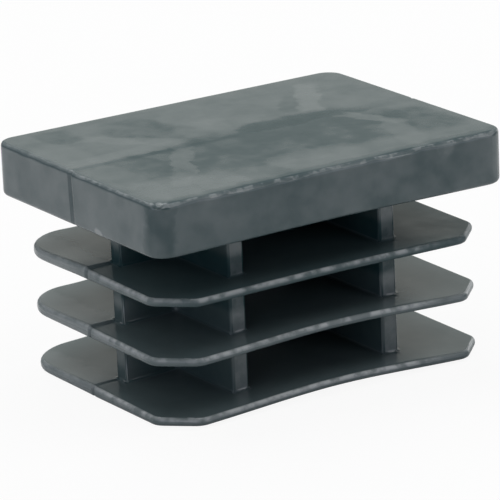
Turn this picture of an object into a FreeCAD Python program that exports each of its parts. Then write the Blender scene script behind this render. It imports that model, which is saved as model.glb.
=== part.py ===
import FreeCAD, Part
import os

# Push-in end cap for a rectangular tube, injection moulded in one piece.
# Origin: middle of the seat, the plane of the head's underside that lands on the tube's end.
# X runs along the length, Y across the width and +Z out of the tube through the head.
# The two halves of the mould part at Y = 0 and open along Y.

# Head: the plain plate that covers the tube's end
head_length = 40.0
head_width = 30.0
head_thickness = 5.4
head_corner_radius = 2.0
head_top_edge_radius = 0.4
head_seat_edge_radius = 0.5

# How far the middle of the head's underside has drawn in since moulding
seat_arch = 0.2

# Line left on the head's two short ends where the mould halves meet
parting_line_width = 0.6
parting_line_depth = 0.3

# Fins: three thin flexible plates that grip the tube's inside walls
fin_length = 37.4
fin_width = 28.2
fin_corner_chamfer = 3.3
fin_corner_round = 1.6
fin_edge_thickness = 0.8
fin_root_thickness = 1.1
first_fin_depth = 4.8
fin_pitch = 5.9

# How far each fin's middle has risen towards the head since moulding, from the head down
fin_bows = (0.15, 0.6, 0.7)

# Webs that carry the fins: one along the length and two across it
long_web_length = 31.4
long_web_thickness = 1.8
cross_web_spacing = 17.4
cross_web_width = 21.0
cross_web_edge_thickness = 1.8
cross_web_root_thickness = 2.1


def vector(x, y, z):
    return FreeCAD.Vector(x, y, z)


def straight(start, end):
    return Part.makeLine(start, end)


def prism(corners, height):
    """Upright prism on a closed plan outline."""
    outline = Part.makePolygon(corners + [corners[0]])
    return Part.Face(outline).extrude(vector(0, 0, height))


def upright_edges(solid):
    """Straight edges of a prism that run along Z."""
    found = []
    for edge in solid.Edges:
        bounds = edge.BoundBox
        if bounds.XLength < 1e-6 and bounds.YLength < 1e-6:
            found.append(edge)
    return found


def level_edges(solid, z):
    """Edges of a solid that lie in the plane at one height."""
    found = []
    for edge in solid.Edges:
        bounds = edge.BoundBox
        if abs(bounds.ZMin - z) < 1e-6 and abs(bounds.ZMax - z) < 1e-6:
            found.append(edge)
    return found


def seat_edges(slab):
    """Edges around the head's underside."""
    found = []
    for edge in slab.Edges:
        if edge.BoundBox.ZMax < head_thickness / 2:
            found.append(edge)
    return found


def bowed_line(length, bow, y, z):
    """Level line along X that rises by the bow in its middle and is level there and at its ends."""
    ends = (vector(-length / 2, y, z), vector(length / 2, y, z))
    middle = vector(0, y, z + bow)
    curve = Part.BSplineCurve()
    level = vector(1, 0, 0)
    curve.interpolate(
        Points=[ends[0], middle, ends[1]],
        Tangents=[level, level, level],
        TangentFlags=[True, True, True],
    )
    return curve.toShape()


def fin_section(bow, middle_z, y, thickness):
    """Section of a fin in a plane across Y: two bowed lines closed by short upright ends."""
    over = bowed_line(fin_length, bow, y, middle_z + thickness / 2)
    under = bowed_line(fin_length, bow, y, middle_z - thickness / 2)
    left = straight(under.firstVertex().Point, over.firstVertex().Point)
    right = straight(over.lastVertex().Point, under.lastVertex().Point)
    return Part.Wire([left, over, right, under])


def fin_outline(z, height):
    """Plan of a fin: a rectangle whose chamfered corners are softened at both ends."""
    x = fin_length / 2
    y = fin_width / 2
    c = fin_corner_chamfer
    corners = [
        vector(-x + c, -y, z),
        vector(x - c, -y, z),
        vector(x, -y + c, z),
        vector(x, y - c, z),
        vector(x - c, y, z),
        vector(-x + c, y, z),
        vector(-x, y - c, z),
        vector(-x, -y + c, z),
    ]
    outline = prism(corners, height)
    return outline.makeFillet(min(fin_corner_round, c), upright_edges(outline))


def fin_middle_z(index):
    """Height of a fin's middle plane at its short ends."""
    return -first_fin_depth - fin_edge_thickness / 2 - index * fin_pitch


def fin(index):
    """Fin that thins towards both long sides, the way it was drawn out of the mould."""
    bow = fin_bows[index]
    middle_z = fin_middle_z(index)
    root = fin_section(bow, middle_z, 0, fin_root_thickness)
    halves = []
    for side in (-1, 1):
        edge = fin_section(bow, middle_z, side * fin_width / 2, fin_edge_thickness)
        halves.append(Part.makeLoft([root, edge], True, True))
    plate = halves[0].fuse(halves[1])
    low_z = middle_z - fin_root_thickness
    reach = 2 * fin_root_thickness + bow
    return plate.common(fin_outline(low_z, reach)).removeSplitter()


def head():
    """Plain slab with round corners, softened edges and the parting line on its short ends."""
    x = head_length / 2
    y = head_width / 2
    seat = bowed_line(head_length, seat_arch, -y, 0)
    left = straight(seat.firstVertex().Point, vector(-x, -y, head_thickness))
    top = straight(left.lastVertex().Point, vector(x, -y, head_thickness))
    right = straight(top.lastVertex().Point, seat.lastVertex().Point)
    section = Part.Wire([left, top, right, seat])
    slab = Part.Face(section).extrude(vector(0, head_width, 0))
    slab = slab.makeFillet(head_corner_radius, upright_edges(slab))
    slab = slab.makeFillet(head_top_edge_radius, level_edges(slab, head_thickness))
    slab = slab.makeFillet(head_seat_edge_radius, seat_edges(slab))
    for side in (-1, 1):
        half = parting_line_width / 2
        notch = prism(
            [
                vector(side * x, -half, 0),
                vector(side * (x - parting_line_depth), 0, 0),
                vector(side * x, half, 0),
            ],
            head_thickness,
        )
        slab = slab.cut(notch)
    return slab


def web_envelope():
    """Space from inside the head down into the last fin, which the webs fill and never pass."""
    last = len(fin_bows) - 1
    floor = bowed_line(fin_length, fin_bows[last], -fin_width / 2, fin_middle_z(last))
    roof_z = head_thickness / 2
    left = straight(vector(-fin_length / 2, -fin_width / 2, roof_z), floor.firstVertex().Point)
    right = straight(floor.lastVertex().Point, vector(fin_length / 2, -fin_width / 2, roof_z))
    roof = straight(right.lastVertex().Point, left.firstVertex().Point)
    outline = Part.Wire([left, floor, right, roof])
    return Part.Face(outline).extrude(vector(0, fin_width, 0))


def webs():
    """Long web with two cross webs through it, each thinner towards its outer ends."""
    depth = first_fin_depth + fin_pitch * len(fin_bows)
    height = depth + head_thickness / 2
    long_x = long_web_length / 2
    long_y = long_web_thickness / 2
    plan = prism(
        [
            vector(-long_x, -long_y, -depth),
            vector(long_x, -long_y, -depth),
            vector(long_x, long_y, -depth),
            vector(-long_x, long_y, -depth),
        ],
        height,
    )
    end_y = cross_web_width / 2
    edge_x = cross_web_edge_thickness / 2
    root_x = cross_web_root_thickness / 2
    for side in (-1, 1):
        x = side * cross_web_spacing / 2
        cross = prism(
            [
                vector(x - edge_x, -end_y, -depth),
                vector(x + edge_x, -end_y, -depth),
                vector(x + root_x, 0, -depth),
                vector(x + edge_x, end_y, -depth),
                vector(x - edge_x, end_y, -depth),
                vector(x - root_x, 0, -depth),
            ],
            height,
        )
        plan = plan.fuse(cross)
    return plan.common(web_envelope())


def end_cap():
    """The whole moulding: head, webs and fins in one solid."""
    pieces = [webs()]
    for index in range(len(fin_bows)):
        pieces.append(fin(index))
    moulding = head().fuse(pieces).removeSplitter()
    return moulding.Solids[0] if len(moulding.Solids) == 1 else moulding


os.makedirs("parts", exist_ok=True)
cap = end_cap()
cap.exportStep("parts/end_cap.step")
print("solids", len(cap.Solids), "valid", cap.isValid(), "volume mm3", round(cap.Volume, 1))
print("box", cap.BoundBox)
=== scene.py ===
import math

import bmesh
import bpy
from mathutils import Matrix, Vector, noise


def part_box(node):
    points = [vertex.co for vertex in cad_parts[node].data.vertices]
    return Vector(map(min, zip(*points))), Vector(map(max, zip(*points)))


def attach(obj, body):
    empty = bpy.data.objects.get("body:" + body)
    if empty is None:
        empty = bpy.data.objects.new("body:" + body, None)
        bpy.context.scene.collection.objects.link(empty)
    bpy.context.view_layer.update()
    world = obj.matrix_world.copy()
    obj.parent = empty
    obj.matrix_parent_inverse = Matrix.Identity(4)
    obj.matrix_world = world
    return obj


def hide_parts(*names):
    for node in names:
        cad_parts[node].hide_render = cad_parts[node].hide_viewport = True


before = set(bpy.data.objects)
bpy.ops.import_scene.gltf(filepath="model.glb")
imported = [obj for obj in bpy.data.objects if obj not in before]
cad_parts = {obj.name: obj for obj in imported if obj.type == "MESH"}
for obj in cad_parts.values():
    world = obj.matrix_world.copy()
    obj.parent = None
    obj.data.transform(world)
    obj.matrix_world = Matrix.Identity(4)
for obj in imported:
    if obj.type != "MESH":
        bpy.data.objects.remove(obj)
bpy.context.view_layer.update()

# The head and the fins
# The cap is one injection moulding in soft polyethylene: a head and three fins, each a plate
# shaped by the mould's two halves, which part near Y = 0 and open along Y.
# Sizes are in millimetres until the finished mesh is scaled to the frame's metres.
METRE = 1000.0
TOUCH = 1e-4
cap_low, cap_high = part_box("end_cap")
head_length = (cap_high.x - cap_low.x) * METRE
head_width = (cap_high.y - cap_low.y) * METRE
head_top = cap_high.z * METRE
head_seat = 0.0
head_corner_radius = 2.0
head_top_edge_radius = 0.4
head_seat_edge_radius = 0.5
seat_arch = 0.2

fin_length = 37.4
fin_width = 28.2
fin_corner_chamfer = 3.3
fin_corner_round = 1.6
fin_far_left_radius = 4.9
fin_edge_thickness = 0.8
fin_root_thickness = 1.1
fin_edge_radius = 0.36
first_fin_depth = 4.8
fin_pitch = 5.9
fin_count = 3
soft_edge_segments = 4

HEAD_RIM = 1
FIN_EDGE = 2
WEB = 3


def everything(part):
    """All points, edges and faces of a part."""
    return part.verts[:] + part.edges[:] + part.faces[:]


def at_height(part, z):
    """Edges of a part that lie level at one height."""
    return [e for e in part.edges if all(abs(v.co.z - z) < TOUCH for v in e.verts)]


def plate(length, width, low, high, corner_cuts, soft_edges, far_left_radius=0):
    """Flat plate with cut or rounded corners and softened rims, marked on its faces.

    Its far left corner can be one round arc instead.
    """
    part = bmesh.new()
    kind = part.faces.layers.int.new("kind")
    bmesh.ops.create_grid(part, x_segments=1, y_segments=1, size=0.5)
    bmesh.ops.scale(part, verts=part.verts, vec=(length, width, 1))
    bmesh.ops.translate(part, verts=part.verts, vec=(0, 0, low))
    if far_left_radius:
        bmesh.ops.bevel(
            part, geom=[v for v in part.verts if v.co.x < 0 < v.co.y], affect="VERTICES",
            offset=far_left_radius, segments=12, profile=0.5, material=-1,
        )
    arc_x = far_left_radius - length / 2
    arc_y = width / 2 - far_left_radius
    for offset, segments in corner_cuts:
        corners = [
            v for v in part.verts
            if not far_left_radius or v.co.x > arc_x + TOUCH or v.co.y < arc_y - TOUCH
        ]
        bmesh.ops.bevel(
            part, geom=corners, affect="VERTICES", offset=offset,
            segments=segments, profile=0.5, material=-1,
        )
    raised = bmesh.ops.extrude_face_region(part, geom=part.faces[:])
    upper = [v for v in raised["geom"] if isinstance(v, bmesh.types.BMVert)]
    bmesh.ops.translate(part, verts=upper, vec=(0, 0, high - low))
    bmesh.ops.recalc_face_normals(part, faces=part.faces[:])
    for z, radius, mark in soft_edges:
        soft = bmesh.ops.bevel(
            part, geom=at_height(part, z), affect="EDGES", offset=radius,
            segments=soft_edge_segments, profile=0.5, material=-1,
        )
        for face in soft["faces"]:
            face[kind] = mark
    return part


def join(whole, part):
    """Moves a part's faces into the whole."""
    carrier = bpy.data.meshes.new("carrier")
    part.to_mesh(carrier)
    whole.from_mesh(carrier)
    bpy.data.meshes.remove(carrier)
    part.free()


def fin_heights(index):
    """Lower and upper face of a fin at its rim, before it bowed."""
    upper = -first_fin_depth - index * fin_pitch
    return upper - fin_edge_thickness, upper


cap = bmesh.new()
cap.faces.layers.int.new("kind")
join(cap, plate(
    head_length, head_width, head_seat, head_top,
    corner_cuts=[(head_corner_radius, 10)],
    soft_edges=[
        (head_top, head_top_edge_radius, HEAD_RIM),
        (head_seat, head_seat_edge_radius, HEAD_RIM),
    ],
))

# Each end of a chamfer turns 45 degrees, and an arc in it starts this far from the corner
round_offset = fin_corner_round * math.tan(math.radians(22.5))
for index in range(fin_count):
    low, high = fin_heights(index)
    join(cap, plate(
        fin_length, fin_width, low, high,
        corner_cuts=[(fin_corner_chamfer, 1), (round_offset, 4)],
        soft_edges=[(z, fin_edge_radius, FIN_EDGE) for z in (high, low)],
        far_left_radius=fin_far_left_radius,
    ))

# The webs
# One upright web along the cap and two across it carry the fins and join them to the head.
# The mould's cores leave round roots where they meet the plates and where they cross.
long_web_length = 31.4
long_web_thickness = 1.8
cross_web_spacing = 17.4
cross_web_width = 21.0
cross_web_edge_thickness = 1.8
cross_web_root_thickness = 2.1
web_crossing_radius = 0.5
web_end_radius = 0.25
web_root_radius = 0.3
web_round_segments = 3
crease = 0.5  # radians, the least turn between two faces that counts as an edge

long_x = long_web_length / 2
long_y = long_web_thickness / 2
near_x = (cross_web_spacing - cross_web_edge_thickness) / 2
far_x = (cross_web_spacing + cross_web_edge_thickness) / 2
cross_y = cross_web_width / 2


def cut_across(part, axis, places):
    """Cuts every face with a plane across one axis at each place."""
    normal = Vector((0, 0, 0))
    normal[axis] = 1
    for place in places:
        bmesh.ops.bisect_plane(
            part, geom=everything(part), dist=TOUCH, plane_co=normal * place, plane_no=normal
        )


def in_web_plan(point):
    """True for a point of the plan that a web stands on."""
    x, y = abs(point.x), abs(point.y)
    along = x < long_x and y < long_y
    across = near_x < x < far_x and y < cross_y
    return along or across


cut_across(cap, 0, [s * x for s in (-1, 1) for x in (near_x, far_x, long_x)])
cut_across(cap, 1, [s * y for s in (-1, 1) for y in (long_y, cross_y)])
gaps = []
ceiling = head_seat
for index in range(fin_count):
    low, high = fin_heights(index)
    gaps.append((ceiling, high))
    ceiling = low

kind = cap.faces.layers.int["kind"]
for gap in gaps:
    footprints = [
        f for f in cap.faces
        if abs(f.normal.z) > 0.9
        and min(abs(f.calc_center_median().z - z) for z in gap) < TOUCH
        and in_web_plan(f.calc_center_median())
    ]
    bmesh.ops.delete(cap, geom=footprints, context="FACES")
    rings = [e for z in gap for e in at_height(cap, z) if len(e.link_faces) == 1]
    walls = bmesh.ops.bridge_loops(cap, edges=rings)
    for face in walls["faces"]:
        face[kind] = WEB
bmesh.ops.recalc_face_normals(cap, faces=cap.faces[:])

# The cross webs are thicker where they meet the long one
thicker = (cross_web_root_thickness - cross_web_edge_thickness) / 2 * (1 - long_y / cross_y)
for v in cap.verts:
    if abs(abs(v.co.y) - long_y) < TOUCH:
        if abs(abs(v.co.x) - near_x) < TOUCH:
            v.co.x -= math.copysign(thicker, v.co.x)
        elif abs(abs(v.co.x) - far_x) < TOUCH:
            v.co.x += math.copysign(thicker, v.co.x)


def upright(edge):
    """True for an edge that runs along Z."""
    a, b = (v.co for v in edge.verts)
    return abs(a.x - b.x) < TOUCH and abs(a.y - b.y) < TOUCH


def wall_edges(part):
    """Edges of the webs' walls."""
    return [e for e in part.edges if any(f[kind] == WEB for f in e.link_faces)]


for hollow, radius in ((True, web_crossing_radius), (False, web_end_radius)):
    corners = [
        e for e in wall_edges(cap)
        if upright(e) and e.is_convex != hollow and e.calc_face_angle() > crease
    ]
    rounded = bmesh.ops.bevel(
        cap, geom=corners, affect="EDGES", offset=radius,
        segments=web_round_segments, profile=0.5, material=-1,
    )
    for face in rounded["faces"]:
        face[kind] = WEB
roots = [
    e for e in wall_edges(cap)
    if any(f[kind] != WEB for f in e.link_faces) and e.calc_face_angle() > crease
]
bmesh.ops.bevel(
    cap, geom=roots, affect="EDGES", offset=web_root_radius,
    segments=web_round_segments, profile=0.5, material=-1,
)

# Shrinkage and the parting line
# The lower fins have bowed towards the head as they cooled, and each fin thins from the parting
# line to its rims, the way it was drawn from the mould. The mould's far half sat slightly high,
# which left a groove across the ends and a step along it in the tops.
fin_bows = (0.15, 0.6, 0.7)
cut_step_x = 0.65
cut_step_y = 0.75

# The groove: where it lies in Y, and on the head and the fins how deep it is at an end and how far
# in from that end it starts
groove_near = -0.1
groove_floor = 0.15
groove_far = 0.75
groove_line = 0.06
head_groove_depth = 0.3
head_groove_span = 0.65
head_groove_lean = 0.12
fin_groove_depth = 0.25
fin_groove_span = 0.5

# Steps in the tops, and the droop of the fins' far left corners, each with where it fades in
top_step = 0.06
top_step_fade = (-6, 16)
fin_steps = (0.2, 0.2, 0.05)
fin_step_fade = (long_x - 4, long_x + 1.5)
corner_droops = (0.2, 0.1, 0.08)
droop_fade_across = (1, 9)
droop_fade_along = (13, 18)


def steps(reach, step):
    """Evenly spaced places out to both sides of the middle."""
    count = int(reach / step)
    return [i * step for i in range(-count, count + 1)]


cut_across(cap, 0, steps(head_length / 2, cut_step_x))
cut_across(cap, 1, steps(head_width / 2, cut_step_y))
cut_across(cap, 1, [
    groove_near, groove_floor, groove_floor + groove_line, groove_far - groove_line, groove_far,
])
cut_across(cap, 0, [s * (head_length / 2 - head_groove_span) for s in (-1, 1)])
cut_across(cap, 0, [s * (fin_length / 2 - fin_groove_span) for s in (-1, 1)])

# A level cut just under the top rounding keeps the rim's dents off the head's sides
rim_cut_drop = 0.15
cut_across(cap, 2, [head_top - head_top_edge_radius - rim_cut_drop])


def bell(u):
    """1 in the middle, level there and at both ends, 0 at the ends."""
    u = min(abs(u), 1)
    return 1 - 3 * u * u + 2 * u * u * u


def blend_in(value, start, end):
    """0 before the start, 1 past the end, eased between."""
    t = min(max((value - start) / (end - start), 0), 1)
    return t * t * (3 - 2 * t)


def drawn_in(x, end, span, depth):
    """Moves a point of the last span before either end inwards, the end itself by the depth."""
    past = max(abs(x) - (end - span), 0)
    return x - math.copysign(past * depth / span, x)


# Every point moves with the plate face it is nearest to. Each face has its height, its owner and
# which way it faces.
taper = (fin_root_thickness - fin_edge_thickness) / 2
levels = [(head_seat, "seat", 0), (head_top, "top", 0)]
for index in range(fin_count):
    low, high = fin_heights(index)
    levels += [(low, index, -1), (high, index, 1)]
for v in cap.verts:
    x, y, z = v.co
    _, owner, side = min(levels, key=lambda level: abs(level[0] - z))
    if owner == "seat":
        v.co.z += seat_arch * bell(x / (head_length / 2))
    elif owner == "top":
        rise = min(max((y - groove_floor) / (groove_far - groove_floor), 0), 1)
        v.co.z -= top_step * (1 - rise) * blend_in(-x, *top_step_fade)
    else:
        v.co.z += side * taper * (1 - abs(y) / (fin_width / 2))
        v.co.z += fin_bows[owner] * bell(x / (fin_length / 2))
        if side > 0 and y > groove_far - groove_line / 2:
            v.co.z += fin_steps[owner] * blend_in(abs(x), *fin_step_fade)
        droop = blend_in(y, *droop_fade_across) * blend_in(-x, *droop_fade_along)
        v.co.z -= corner_droops[owner] * droop
        if abs(y - groove_far + groove_line) < TOUCH:
            v.co.x = drawn_in(x, fin_length / 2, fin_groove_span, fin_groove_depth)

# The groove in the head's ends leans slightly from seat to top
for v in cap.verts:
    x, y, z = v.co
    if z > -first_fin_depth / 2 and groove_near - TOUCH < y < groove_far + TOUCH:
        if groove_floor - TOUCH < y < groove_floor + groove_line + TOUCH:
            v.co.x = drawn_in(x, head_length / 2, head_groove_span, head_groove_depth)
        if abs(x) > head_length / 2 - head_groove_span + TOUCH:
            v.co.y += head_groove_lean * (2 * z / head_top - 1)

# The head's front and left top rims are slightly ragged where flash was trimmed off them, and the
# near corner has a nick
rag_depth = 0.15
rag_mean = 0.35
rag_start = 0.6
rag_full = 0.3
left_share = 0.6
nick_depth = 0.3
nick_x = 0.7 - head_length / 2
nick_y = 0.6 - head_width / 2
nick_reach = 0.7
nick_core = 0.2
for v in cap.verts:
    x, y, z = v.co
    if z > head_top - head_top_edge_radius + TOUCH:
        front = blend_in(-y, head_width / 2 - rag_start, head_width / 2 - rag_full)
        left = blend_in(-x, head_length / 2 - rag_start, head_length / 2 - rag_full)
        rough = noise.noise(Vector((x * 0.5, y * 0.5, 3))) + 0.6 * noise.noise(Vector((x, y, 7)))
        dent = max(front, left_share * left) * rag_depth * (rag_mean + rough)
        to_nick = math.hypot(x - nick_x, y - nick_y)
        dent += nick_depth * blend_in(-to_nick, -nick_reach, -nick_core)
        v.co.z -= max(dent, 0)
        v.co.y += front * max(dent, 0)

bmesh.ops.remove_doubles(cap, verts=cap.verts[:], dist=TOUCH)
bmesh.ops.recalc_face_normals(cap, faces=cap.faces[:])

# Painted highlights on the rims where they face upwards, with some real wear that also roughens
# them: full on the upper part of each softened edge and fading out below it and where it meets a
# flat face, at half strength on the fins' cut corners. The webs' ends get a little painted light,
# and their sides painted shade.
cut_corner_rim_light = 0.5
web_end_painted_light = 0.15
web_side_painted_shade = -0.12

# How far a rim's points face upwards where the wear and painted highlight start and where they are
# full
head_rim_facing = (0.4, 0.9)
fin_edge_facing = (-0.3, 0.7)

# A face that turns up or down by less than steep is a side, and one that turns along both X and Y
# by more than diagonal is a cut corner
steep = 0.3
diagonal = 0.25
rim = cap.loops.layers.float.new("rim")
for face in cap.faces:
    if abs(face.normal.z) < steep and face.calc_center_median().z < 0 and face[kind] != WEB:
        face[kind] = FIN_EDGE
for face in cap.faces:
    if face[kind] in (HEAD_RIM, FIN_EDGE):
        for corner in face.loops:
            inside = all(f[kind] == face[kind] for f in corner.vert.link_faces)
            facing = corner.vert.normal
            if face[kind] == HEAD_RIM:
                wear_and_rim_light = blend_in(facing.z, *head_rim_facing)
            elif min(abs(facing.x), abs(facing.y)) > diagonal:
                wear_and_rim_light = cut_corner_rim_light * blend_in(facing.z, *fin_edge_facing)
            else:
                wear_and_rim_light = blend_in(facing.z, *fin_edge_facing)
            corner[rim] = inside * wear_and_rim_light
    # The webs' ends get painted light and their sides painted shade
    elif face[kind] == WEB:
        at_end = abs(face.calc_center_median().y) > cross_y - 0.01
        for corner in face.loops:
            corner[rim] = web_end_painted_light if at_end else web_side_painted_shade
cap.faces.layers.int.remove(kind)

bmesh.ops.scale(cap, verts=cap.verts[:], vec=(1 / METRE,) * 3)
for face in cap.faces:
    face.smooth = True
mesh = bpy.data.meshes.new("moulding")
cap.to_mesh(mesh)
cap.free()
moulding = bpy.data.objects.new("moulding", mesh)
bpy.context.scene.collection.objects.link(moulding)
weighted = moulding.modifiers.new("even shading", "WEIGHTED_NORMAL")
weighted.keep_sharp = True
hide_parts("end_cap")
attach(moulding, "root")


def srgb(code):
    """Linear colour of an sRGB hex code, opaque."""
    parts = [int(code[i:i + 2], 16) / 255 for i in (1, 3, 5)]
    return [c / 12.92 if c <= 0.04045 else ((c + 0.055) / 1.055) ** 2.4 for c in parts] + [1.0]


def node(tree, kind, settings=None, inputs=None):
    """Adds a node with its settings, and its inputs as plain values or as sockets to link."""
    made = tree.nodes.new(kind)
    for name, value in (settings or {}).items():
        setattr(made, name, value)
    for name, value in (inputs or {}).items():
        if isinstance(value, bpy.types.NodeSocket):
            tree.links.new(value, made.inputs[name])
        else:
            made.inputs[name].default_value = value
    return made


# Moulded grey polyethylene
# Soft blue-grey plastic with a thin pale bloom in clouds on the head, and slightly worn rims. Over
# it lie painted sheen in streaks over the webs, where the cooling left sink marks, painted shade on
# the near half of the top, on the first fin and on the head's sides, painted highlights on the rims
# and painted light on the fins' far left tips.
# Its patterns are laid out in millimetres on the plan of the head.
plastic = bpy.data.materials.new("moulded grey polyethylene")
plastic.use_nodes = True
tree = plastic.node_tree
shader = tree.nodes["Principled BSDF"]
where = node(tree, "ShaderNodeTexCoord").outputs["Object"]
place = node(
    tree, "ShaderNodeVectorMath", {"operation": "SCALE"}, {0: where, "Scale": METRE}
).outputs[0]
plan = node(tree, "ShaderNodeSeparateXYZ", None, {"Vector": place})
along, across, height = (plan.outputs[axis] for axis in "XYZ")

# Rims: 0 off them, up to 1 where they are worn and carry painted highlights, below 0 for the
# painted shade on the webs' sides
edge = node(
    tree, "ShaderNodeAttribute", {"attribute_type": "GEOMETRY", "attribute_name": "rim"}
).outputs["Fac"]

# Soft noise, with the width of its clouds in millimetres and its detail
clouds = {}
for name, size, detail in (
    ("outlines", 2.2, 3), ("broad", 4, 2), ("small", 1.5, 3),
    ("mottle", 1.2, 3), ("dashes", 0.8, 2), ("grain", 0.4, 2),
):
    clouds[name] = node(
        tree, "ShaderNodeTexNoise", {"noise_dimensions": "3D"},
        {"Vector": place, "Scale": 1 / size, "Detail": detail, "Roughness": 0.5},
    ).outputs

# Eased changes: each goes from a low to a high value while its source goes from a start to an end
smooth_roughness = 0.22
worn_roughness = 0.55
top_start = head_top - 0.5
top_end = head_top - 0.1
eased = {}
for name, source, start, end, low, high in (
    ("top", height, top_start, top_end, 0, 1),
    ("below the top", height, top_start, top_end, 1, 0),
    ("head", height, -1, 0, 0, 1),
    ("below the head", height, 0, -1, 0, 1),
    ("top rim", height, head_top - 1, head_top - 0.5, 0, 1),
    ("above the second fin", height, -8.5, -7.5, 0, 1),
    ("first fin and down", height, -2, -3, 0, 1),
    ("clear of the head", height, -1, -2, 0, 1),
    ("far side", across, 0.2, 0.8, 0, 1),
    ("rim light side", across, 3, -3, 0.25, 1),
    ("rim light end", along, 8, 13, 1, 0.1),
    ("strength of the faint clouds", height, -1, 0, 0.5, 1),
    ("broad clouds", clouds["broad"]["Fac"], 0.3, 0.7, -0.035, 0.035),
    ("small clouds", clouds["small"]["Fac"], 0.3, 0.7, -0.025, 0.025),
    ("mottle", clouds["mottle"]["Fac"], 0.35, 0.62, 0.2, 1.1),
    ("dashes", clouds["dashes"]["Fac"], 0.45, 0.65, 0, 0.5),
    ("plain sheen", height, top_start, top_end, 0.56, 0.57),
    ("sheen taken by wear", height, -1, 0, 0, -0.5),
    ("roughness", edge, 0, 1, smooth_roughness, worn_roughness),
):
    eased[name] = node(
        tree, "ShaderNodeMapRange", {"interpolation_type": "SMOOTHSTEP"},
        {"Value": source, "From Min": start, "From Max": end, "To Min": low, "To Max": high},
    ).outputs[0]


def total(*terms):
    """Sum of terms, each of them the product of its factors."""
    whole = 0.0
    for product, *factors in terms:
        for factor in factors:
            product = node(
                tree, "ShaderNodeMath", {"operation": "MULTIPLY"}, {0: product, 1: factor}
            ).outputs[0]
        whole = node(
            tree, "ShaderNodeMath", {"operation": "ADD"}, {0: whole, 1: product}
        ).outputs[0]
    return whole


# Ragged outlines for the patches: the plan is shaken by up to about a millimetre
wander = node(
    tree, "ShaderNodeVectorMath", {"operation": "SUBTRACT"},
    {0: clouds["outlines"]["Color"], 1: (0.5, 0.5, 0.5)},
).outputs[0]
shaken = node(
    tree, "ShaderNodeVectorMath", {"operation": "MULTIPLY_ADD"},
    {0: wander, 1: (2.4, 2.4, 0), 2: place},
).outputs[0]


def patch(x, y, length, width, angle, strength, softness=0.4):
    """Bloom, painted light or painted shade added or taken away over an oblong patch of the plan,
    with a soft outline.
    """
    local = node(
        tree, "ShaderNodeMapping", {"vector_type": "TEXTURE"},
        {
            "Vector": shaken, "Location": (x, y, 0), "Rotation": (0, 0, math.radians(angle)),
            "Scale": (length / 2, width / 2, METRE),
        },
    ).outputs[0]
    square = node(tree, "ShaderNodeVectorMath", {"operation": "MULTIPLY"}, {0: local, 1: local})
    reach = node(
        tree, "ShaderNodeVectorMath", {"operation": "DOT_PRODUCT"},
        {0: square.outputs[0], 1: square.outputs[0]},
    ).outputs["Value"]
    return node(
        tree, "ShaderNodeMapRange", {"interpolation_type": "SMOOTHSTEP"},
        {
            "Value": reach, "From Min": (1 + softness) ** 4, "From Max": (1 - softness) ** 4,
            "To Min": 0, "To Max": strength,
        },
    ).outputs[0]


# Marks on the head's top, partly bloom and partly painted sheen and painted shade: the middle,
# length, width, angle and strength of each
marks = [
    # the near half of the head, painted darker up to the parting line: painted shade for its slight
    # tilt away from the back lamps, along the parting line's step and as a dark line along the
    # front rim
    (0.5, -3.8, 22.5, 10.4, 0, -0.15),
    (5.5, 1.6, 9, 2.8, 0, -0.09),
    (-13.5, -4.2, 3.6, 8, 0, -0.07),
    (16, -6.5, 4.6, 7.6, 0, -0.12),
    (0, -14.4, 40, 1.5, 0, -0.07),
    (15.5, 0.6, 8.5, 1.9, 0, -0.06),
    (-12, 0.3, 17, 1.1, 0, -0.04),
    # other dull spots
    (-6.4, 6.4, 5.6, 9.5, 20, -0.10),
    (-14.8, 11.4, 3.2, 3.6, 0, -0.10),
    (9.2, 6.3, 4.6, 1.8, 57, -0.07),
    (-4.9, -11.8, 1.6, 4, 0, -0.05),
    # pale streaks over the webs: painted sheen for the light caught by the sink marks there
    (-10, 5.6, 8.6, 2.1, -46, 0.10),
    (-10.3, -4.4, 12, 1.8, 57, 0.11),
    (11.8, 7.2, 9.2, 2.1, 59, 0.17),
    (12.3, -3.0, 6.2, 1.7, -65, 0.13),
    (12, -9, 7.5, 2.2, 75, 0.08),
    (-12.5, 2.1, 13, 1.7, 0, 0.08),
    # pale clouds
    (-2.2, 4.4, 4.2, 6, -20, 0.07),
    (0.6, -10.8, 8, 4.4, 0, 0.06),
    (-10.6, -11.2, 4.2, 4.2, 0, 0.08),
    (-16, -10.6, 4.4, 5.6, 0, 0.07),
    (-17.6, 4.6, 3.6, 8, 0, 0.06),
]
top_marks_and_painted_sheen = total(*[(patch(*mark),) for mark in marks])

# Besides them there are faint clouds, half as strong below the head, and painted shade makes the
# first fin duller, where the head shades it, except at its far left tip
faint = total((eased["broad clouds"],), (eased["small clouds"],))
first_fin_shade = patch(4, -6, 44, 24, 0, -0.14, softness=0.2)
bloom_and_painted_light = total(
    (top_marks_and_painted_sheen, eased["top"]),
    (faint, eased["strength of the faint clouds"]),
    (first_fin_shade, eased["above the second fin"], eased["first fin and down"]),
)

# Sheen: strongest on the pale streaks of the head's top, weakest on the dull patches, and halved
# on the head's worn rims
marks_sheen_gain = 3.0
least_sheen = 0.12
sheen = node(
    tree, "ShaderNodeClamp", None,
    {
        "Value": total((bloom_and_painted_light, marks_sheen_gain), (eased["plain sheen"],)),
        "Min": least_sheen, "Max": 1.0,
    },
).outputs[0]
matted = total((edge, eased["sheen taken by wear"]), (1.0,))

# Painted highlights on the rims: mottled on the fins, fading to the right, and in short dashes of
# painted glint on the head's top rim. They are fainter on the far side.
rim_light = node(tree, "ShaderNodeMath", {"operation": "MAXIMUM"}, {0: edge, 1: 0}).outputs[0]
shaded = node(tree, "ShaderNodeMath", {"operation": "MINIMUM"}, {0: edge, 1: 0}).outputs[0]
rim_light_breaks = total(
    (eased["mottle"], eased["rim light end"], eased["below the head"]),
    (eased["dashes"], eased["top rim"]),
)

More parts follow.
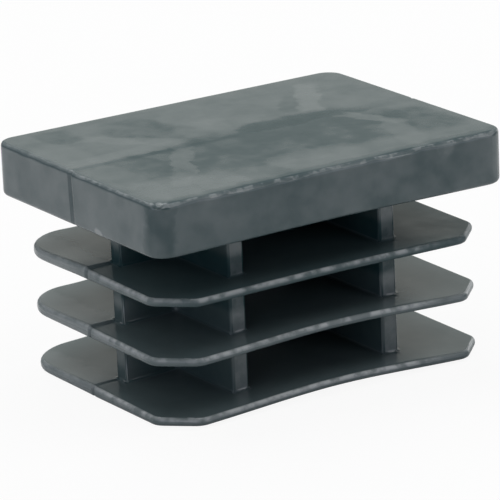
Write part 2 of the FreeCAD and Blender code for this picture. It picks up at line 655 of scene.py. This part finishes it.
# Painted shade on the head's sides: down the near corner and over the middle of the front
near_corner_shade = patch(-19.4, -14.4, 2.6, 2.6, 0, -0.13, softness=0.3)
front_middle_shade = patch(1, -15, 24, 4, 0, -0.1, softness=0.6)
side_shade = total((near_corner_shade,), (front_middle_shade,))

# Painted light on the fins' far left tips, up to the groove
far_tips_light = patch(-18.6, 8, 4.4, 13, 0, 0.2, softness=0.5)

# A pale spot low on the head's left end and a fainter one on its front
spot_softness = 0.4
pale_spots = []
for spot, size, strength in (((-20, -4.2, 0.3), 0.5, 0.45), ((12.9, -15, 4.7), 0.8, 0.12)):
    away = node(
        tree, "ShaderNodeVectorMath", {"operation": "DISTANCE"}, {0: shaken, 1: spot}
    ).outputs["Value"]
    pale_spots.append(node(
        tree, "ShaderNodeMapRange", {"interpolation_type": "SMOOTHSTEP"},
        {
            "Value": away, "From Min": size * (1 + spot_softness),
            "From Max": size * (1 - spot_softness), "To Min": 0, "To Max": strength,
        },
    ).outputs[0])

marks_paleness = 0.7
pale = total(
    (bloom_and_painted_light, marks_paleness),
    (rim_light, rim_light_breaks, eased["rim light side"]),
    (shaded,),
    (side_shade, eased["head"], eased["below the top"]),
    (far_tips_light, eased["far side"], eased["clear of the head"]),
    *[(spot,) for spot in pale_spots],
)
body = node(
    tree, "ShaderNodeMix", {"data_type": "RGBA", "clamp_factor": False},
    {"Factor": pale, "A": srgb("#4d595b"), "B": srgb("#9a9fa0")},
)
tree.links.new(body.outputs["Result"], shader.inputs["Base Color"])
tree.links.new(total((sheen, matted)), shader.inputs["Specular IOR Level"])
tree.links.new(eased["roughness"], shader.inputs["Roughness"])
shader.inputs["IOR"].default_value = 1.51

# The mould's fine matt skin, drawn at 0.4 mm because its real grain is finer than the picture shows
skin = node(
    tree, "ShaderNodeBump", None,
    {"Strength": 0.25, "Distance": 0.01 / METRE, "Height": clouds["grain"]["Fac"]},
)
tree.links.new(skin.outputs["Normal"], shader.inputs["Normal"])
moulding.data.materials.append(plastic)

# The studio
# A sheet of white paper under the cap, a white surround and broad soft lamps. The camera sees the
# paper and the surround as white, but they light the cap only a little.
floor_size = 4.0
paper_glow = 0.92
surround_light = 0.055
surround_seen = 1.08
floor_mesh = bpy.data.meshes.new("floor")
sheet = bmesh.new()
bmesh.ops.create_grid(sheet, x_segments=1, y_segments=1, size=floor_size / 2)
bmesh.ops.translate(sheet, verts=sheet.verts, vec=(0, 0, cap_low.z))
sheet.to_mesh(floor_mesh)
sheet.free()
floor = bpy.data.objects.new("floor", floor_mesh)
bpy.context.scene.collection.objects.link(floor)
paper = bpy.data.materials.new("white paper")
paper.use_nodes = True
sheet_tree = paper.node_tree
sheet_shader = sheet_tree.nodes["Principled BSDF"]
sheet_shader.inputs["Base Color"].default_value = srgb("#d8d8d8")
sheet_shader.inputs["Roughness"].default_value = 0.9
glow = node(sheet_tree, "ShaderNodeEmission", None, {"Color": srgb("#ffffff"), "Strength": 1.0})
seen = node(sheet_tree, "ShaderNodeLightPath").outputs["Is Camera Ray"]
share = node(sheet_tree, "ShaderNodeMath", {"operation": "MULTIPLY"}, {0: seen, 1: paper_glow})
mix = node(
    sheet_tree, "ShaderNodeMixShader", None,
    {0: share.outputs[0], 1: sheet_shader.outputs[0], 2: glow.outputs[0]},
)
sheet_tree.links.new(mix.outputs[0], sheet_tree.nodes["Material Output"].inputs["Surface"])
floor.data.materials.append(paper)

world = bpy.data.worlds.new("studio")
bpy.context.scene.world = world
world.use_nodes = True
surround = world.node_tree
seen = node(surround, "ShaderNodeLightPath").outputs["Is Camera Ray"]
strength = node(
    surround, "ShaderNodeMapRange", None,
    {"Value": seen, "To Min": surround_light, "To Max": surround_seen},
)
background = surround.nodes["Background"]
background.inputs["Color"].default_value = srgb("#f6faff")
surround.links.new(strength.outputs[0], background.inputs["Strength"])

lamp_distance = 0.5


def lamp(name, azimuth, elevation, power, colour="#ffffff", size=0.3):
    """Square soft lamp aimed at the cap from a compass direction in the frame."""
    light = bpy.data.lights.new(name, "AREA")
    light.shape = "SQUARE"
    light.size = size
    light.energy = power
    light.color = srgb(colour)[:3]
    holder = bpy.data.objects.new(name, light)
    a, e = math.radians(azimuth), math.radians(elevation)
    back = Vector((math.sin(a) * math.cos(e), -math.cos(a) * math.cos(e), math.sin(e)))
    holder.location = back * lamp_distance
    holder.rotation_mode = "QUATERNION"
    holder.rotation_quaternion = (-back).to_track_quat("-Z", "Y")
    bpy.context.scene.collection.objects.link(holder)


lamp("back softbox", -178, 62, 1.8, size=0.4)
lamp("backdrop seen in the tops", 148, 17, 0.135, "#fbfff8")
lamp("right upper softbox", 60, 50, 1.0)
lamp("right low softbox", 115, 12, 0.7)
lamp("right front fill", 30, 12, 0.44, "#f6f6ff")
lamp("left front fill", -65, 12, 0.56, "#eef0ff")
lamp("left back softbox", -118, 36, 0.42)
lamp("left upper softbox", -70, 45, 0.3)

# Camera
# It stands where the photograph was taken from, worked out from the head's edges, with a long
# lens: a focal length of 4000 pixels on a picture 500 pixels wide.
camera_azimuth = math.radians(-32.353)
camera_elevation = math.radians(17.203)
camera_roll = math.radians(2.498)
camera_distance = 0.39135
camera_aim = Vector((-0.000414, 0, -0.0063))
picture_size = 500
focal_pixels = 4000
back = Vector((
    math.sin(camera_azimuth) * math.cos(camera_elevation),
    -math.cos(camera_azimuth) * math.cos(camera_elevation),
    math.sin(camera_elevation),
))
right = Vector((math.cos(camera_azimuth), math.sin(camera_azimuth), 0))
up = back.cross(right)
camera_data = bpy.data.cameras.new("camera")
camera_data.sensor_width = 36
camera_data.lens = camera_data.sensor_width * focal_pixels / picture_size
camera_data.clip_start = 0.01
camera = bpy.data.objects.new("camera", camera_data)
level = Matrix((right, up, back)).transposed().to_4x4()
turn = Matrix.Rotation(-camera_roll, 4, "Z")
camera.matrix_world = Matrix.Translation(camera_aim + back * camera_distance) @ level @ turn
bpy.context.scene.collection.objects.link(camera)
bpy.context.scene.camera = camera
bpy.context.scene.view_settings.view_transform = "Standard"
